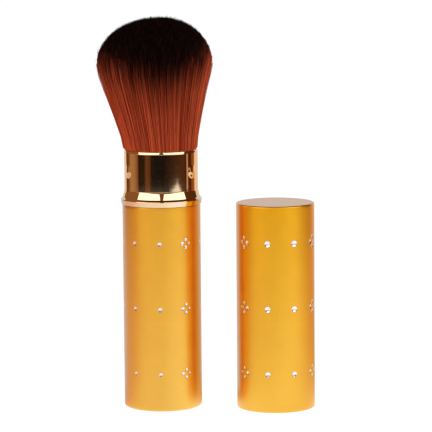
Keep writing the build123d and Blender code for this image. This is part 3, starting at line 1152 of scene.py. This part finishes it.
@dataclass
class Studio:
    """The white sweep, the soft lamps, the cards that the metal mirrors, and the camera."""

    eye: Triple = (17.478, -798.813, 166.819)
    pitch: float = 7.525
    roll: float = -0.451
    lens: float = 209.25
    sensor: float = 36.0
    world_light: float = 0.55
    lamp_target: float = 80.0
    lamp_distance: float = 600.0
    lamp_elevation: float = 27.0
    lamp_height: float = 380.0
    # How bright a lamp looks, where 1 is white
    lamp_brightness: float = 1.85
    floor_reach: float = 4000.0
    floor_level: float = -0.1
    # What stands round the brush at table height, which only the metal mirrors: azimuth in degrees
    # from the front towards +X, and colour
    surroundings: tuple[tuple[float, str], ...] = (
        (-180, "f4dac2"), (-140, "f4dac2"), (-134, "5a3420"), (-118, "7a4a2a"), (-108, "ab8258"),
        (-92, "a98058"), (-78, "8a5c3c"), (-72, "2c1b10"), (-52, "30200f"), (-46, "6a4222"),
        (-36, "633c20"), (-29, "2a1a10"), (-18, "191411"), (8, "17120f"), (20, "2a1a11"),
        (40, "382214"), (60, "4a2c1a"), (78, "50301c"), (84, "3a2414"), (86, "3a2414"),
        (89, "d0a080"), (92, "c89878"), (95, "5a2c14"), (106, "3a1c0c"), (111, "8a4a24"),
        (125, "a0582a"), (131, "f4dac2"), (180, "f4dac2"),
    )
    # The floor between the brush and that, from straight behind round to straight behind again
    apron: tuple[tuple[float, Triple], ...] = (
        (-180, (0.68, 0.72, 0.9)), (-133, (0.66, 0.6, 0.72)), (-114, (0.7, 0.52, 0.5)),
        (-90, (0.84, 0.58, 0.48)), (-60, (0.92, 0.87, 0.84)), (-34, (0.97, 0.96, 0.98)),
        (0, (0.98, 0.98, 0.98)), (27, (1.06, 1.12, 1.25)), (53, (1.12, 1.18, 1.35)),
        (74, (1.06, 1.05, 1.1)), (99, (0.9, 0.72, 0.42)), (126, (0.72, 0.4, 0.1)),
        (150, (0.66, 0.6, 0.6)), (180, (0.68, 0.72, 0.9)),
    )
    # Heights at which the cards lie or begin
    apron_level: float = 0.2
    ring_level: float = 0.4
    paper_level: float = 0.8
    back_levels: Pair = (1.0, 490.0)
    ring_near: float = 560.0
    ring_far: float = 800.0
    # The ring's upright edge, and how much taller it is beyond the front, from where and over what
    ring_height: float = 25.0
    ring_extra: float = 60.0
    front_end: float = 74.0
    front_fade: float = 12.0
    # A corner of the white paper reaches further out on the right: azimuths and distance
    paper_azimuths: Triple = (21.0, 53.0, 74.0)
    paper_reach: float = 620.0
    back_azimuths: Pair = (134.0, 218.0)
    back_reach: float = 820.0
    back_colour: str = "dce2f0"
    room_left: str = "8a5f3a"
    room_right: str = "553218"
    ceiling: str = "4a2e18"
    horizon: Colour = (1.0, 0.9, 0.8, 1.0)

    def floor(self) -> None:
        """Lays the white floor, which shows as white and keeps a faint shadow."""
        corners = self.floor_reach * np.array([(-1, -1, 0), (1, -1, 0), (1, 1, 0), (-1, 1, 0)])
        corners[:, 2] = self.floor_level
        piece = make_object("studio_floor", corners, (np.array([[0, 1, 2, 3]]),))
        material, tree = new_material("white_sweep_paper")
        path = add_node(tree, "LightPath")
        seen = path["Is Camera Ray"]
        for ray in ("Is Glossy Ray", "Is Transmission Ray"):
            seen = add_node(tree, "Math", {0: seen, 1: path[ray]}, operation="MAXIMUM")[0]
        paper = add_node(tree, "BsdfDiffuse", {"Color": (0.85, 0.85, 0.85, 1.0)})[0]
        white = add_node(tree, "Emission", {"Strength": 1.1})[0]
        share = add_node(tree, "Math", {0: seen, 1: 0.9}, operation="MULTIPLY")[0]
        mixed = add_node(tree, "MixShader", {0: share, 1: paper, 2: white})[0]
        add_node(tree, "OutputMaterial", {"Surface": mixed})
        piece.data.materials.append(material)

    def card(
        self,
        name: str,
        azimuths: np.ndarray,
        edges: Sequence[tuple[Reach, Reach]],
        stops: Sequence[tuple[float, Sequence[float]]],
    ) -> None:
        """Puts up a card that goes round the brush and that only mirrored rays see.

        Args:
            name: The card's name.
            azimuths: Where its columns stand, in degrees from the front towards +X.
            edges: Each row's distance from the brush and height in millimetres.
            stops: Linear colours at some azimuths, which run evenly from one to the next.
        """
        turn = np.radians(azimuths - 90.0)
        points = np.stack([turned(reach, turn, level) for reach, level in edges])
        rows, columns = points.shape[:2]
        first = np.arange(rows - 1)[:, None] * columns + np.arange(columns - 1)
        quads = np.stack((first, first + 1, first + 1 + columns, first + columns), axis=-1)
        piece = make_object(name, points, (quads.reshape(-1, 4),))
        places = [azimuth for azimuth, _ in stops]
        channels = np.array([colour for _, colour in stops]).T
        colours = np.stack([np.interp(azimuths, places, channel) for channel in channels], axis=-1)
        layer = piece.data.attributes.new("card_colour", "FLOAT_COLOR", "POINT")
        layer.data.foreach_set("color", np.tile(colours, (rows, 1)).astype(np.float32).ravel())
        material, tree = new_material(name)
        shade = add_node(tree, "Attribute", attribute_name="card_colour")["Color"]
        glow = add_node(tree, "Emission", {"Color": shade, "Strength": 1.0})[0]
        add_node(tree, "OutputMaterial", {"Surface": glow})
        piece.data.materials.append(material)
        for ray in ("camera", "diffuse", "transmission", "volume_scatter", "shadow"):
            setattr(piece, "visible_" + ray, False)

    def put_cards(self) -> None:
        """Puts up the dark ring of the table's edge, its apron, the paper's corner and a back card.

        The ring is flat from its near to its far edge and then stands upright, taller at the sides
        and behind. The corner of paper reaches furthest at its middle.
        """
        near, far = self.ring_near, self.ring_far
        around = np.linspace(-180.0, 180.0, 361)
        beside = smoothstep((np.abs(around) - self.front_end) / self.front_fade)
        tall = self.ring_height + self.ring_extra * beside
        ring = ((near, self.ring_level), (far, self.ring_level), (far, tall))
        shades = [(azimuth, linear(code)) for azimuth, code in self.surroundings]
        self.card("studio_ring", around, ring, shades)
        apron = ((1.0, self.apron_level), (near, self.apron_level))
        shades = [(azimuth, (*colour, 1.0)) for azimuth, colour in self.apron]
        self.card("studio_apron", around, apron, shades)
        across = np.linspace(self.paper_azimuths[0], self.paper_azimuths[-1], 27)
        outer = np.interp(across, self.paper_azimuths, (near, self.paper_reach, near))
        paper = ((near, self.paper_level), (outer, self.paper_level))
        self.card("studio_paper_corner", across, paper, [(0.0, linear("ffffff"))])
        behind = np.linspace(*self.back_azimuths, 29)
        wall = [(self.back_reach, level) for level in self.back_levels]
        self.card("studio_back", behind, wall, [(0.0, linear(self.back_colour))])

    def lamp(self, name: str, azimuth: float, width: float, roll: float) -> None:
        """Hangs one softbox that looks at the brush.

        Args:
            name: The lamp's name.
            azimuth: Its direction from the brush, in degrees from the front towards +X.
            width: Its width in millimetres.
            roll: Its turn about its own axis in degrees.
        """
        light = bpy.data.lights.new(name, "AREA")
        light.shape = "RECTANGLE"
        light.size, light.size_y = width * MM, self.lamp_height * MM
        light.energy = pi * light.size * light.size_y * self.lamp_brightness
        lamp = bpy.data.objects.new(name, light)
        turn, rise = radians(azimuth), radians(self.lamp_elevation)
        out = Vector((sin(turn) * cos(rise), -cos(turn) * cos(rise), sin(rise)))
        lamp.location = Vector((0.0, 0.0, self.lamp_target * MM)) + out * self.lamp_distance * MM
        facing = out.to_track_quat("Z", "Y").to_matrix() @ Matrix.Rotation(radians(roll), 3, "Z")
        lamp.rotation_euler = facing.to_euler()
        lamp.visible_camera = False
        bpy.context.scene.collection.objects.link(lamp)

    def world(self) -> None:
        """Makes the world white where it is seen, and an even plain light otherwise.

        Metal sees a brownish room above the horizon, darker to the right and overhead, and what is
        pale at the table's height in front.
        """
        world = bpy.data.worlds.new("white_studio")
        world.use_nodes = True
        tree = world.node_tree
        tree.nodes.clear()
        path = add_node(tree, "LightPath")
        rays = {0: path["Is Camera Ray"], 1: path["Is Transmission Ray"]}
        seen = add_node(tree, "Math", rays, operation="MAXIMUM")[0]
        white = add_node(tree, "Background", {"Strength": 1.0})[0]
        even = add_node(tree, "Background", {"Strength": self.world_light})[0]
        way = add_node(tree, "SeparateXYZ", {0: add_node(tree, "TexCoord")["Generated"]})
        above, right, top, front = (
            add_node(tree, "MapRange", {"Value": way[axis], "From Min": none, "From Max": full})[0]
            for axis, none, full in ((2, 0.0, 0.13), (0, -0.5, 0.6), (2, 0.75, 0.92), (1, -0.1, -0.4))
        )
        sides = {0: right, 6: linear(self.room_left), 7: linear(self.room_right)}
        walls = add_node(tree, "Mix", sides, data_type="RGBA")[2]
        over = {0: top, 6: walls, 7: linear(self.ceiling)}
        room = add_node(tree, "Mix", over, data_type="RGBA")[2]
        low = add_node(tree, "Mix", {0: front, 6: room, 7: self.horizon}, data_type="RGBA")[2]
        shade = add_node(tree, "Mix", {0: above, 6: low, 7: room}, data_type="RGBA")[2]
        around = add_node(tree, "Background", {"Color": shade})[0]
        plain = add_node(tree, "MixShader", {0: seen, 1: even, 2: white})[0]
        sky = add_node(tree, "MixShader", {0: path["Is Glossy Ray"], 1: plain, 2: around})[0]
        add_node(tree, "OutputWorld", {"Surface": sky})
        bpy.context.scene.world = world

    def camera(self) -> None:
        """Sets up the camera that the photograph's outlines gave."""
        data = bpy.data.cameras.new("camera")
        data.lens = self.lens
        data.sensor_width = self.sensor
        data.clip_start, data.clip_end = 0.05, 20.0
        camera = bpy.data.objects.new("camera", data)
        tilt, roll = radians(self.pitch), radians(self.roll)
        ahead = Vector((0.0, cos(tilt), -sin(tilt)))
        side = Vector((1.0, 0.0, 0.0))
        up = side.cross(ahead)
        right = side * cos(roll) + up * sin(roll)
        top = up * cos(roll) - side * sin(roll)
        turn = Matrix((right, top, -ahead)).transposed().to_4x4()
        camera.matrix_world = Matrix.Translation(Vector(self.eye) * MM) @ turn
        bpy.context.scene.collection.objects.link(camera)
        bpy.context.scene.camera = camera

    def build(self) -> None:
        """Builds the studio."""
        self.floor()
        self.put_cards()
        self.lamp("softbox_left", azimuth=-40.5, width=780, roll=12)
        self.lamp("softbox_right", azimuth=46, width=790, roll=-12)
        self.world()
        self.camera()
        bpy.context.scene.view_settings.view_transform = "Standard"


def main() -> None:
    """Loads the frame and builds every class in order."""
    logging.basicConfig(level=logging.INFO, format="%(message)s")
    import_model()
    DrawnTube(
        name="body_tube",
        body=Rides.HANDLE,
        length=65.5,
        edge_radius=0.75,
        first_angle=-52.0,
        dot_width=1.4,
        petal_width=1.2,
        petal_reach=1.22,
    ).build()
    DrawnTube(
        name="cap_shell",
        body=Rides.CAP,
        length=66.05,
        edge_radius=0.5,
        first_angle=-23.0,
        dot_width=1.95,
        petal_width=1.6,
        petal_reach=1.45,
        centre=(36.4, -3.1),
        mouth_up=False,
        finish=SatinGoldAnodised(seal_ior=1.27),
    ).build()
    Collar().build()
    InnerWorks().build()
    HairHead().build()
    Studio().build()


if __name__ == "__main__":
    main()
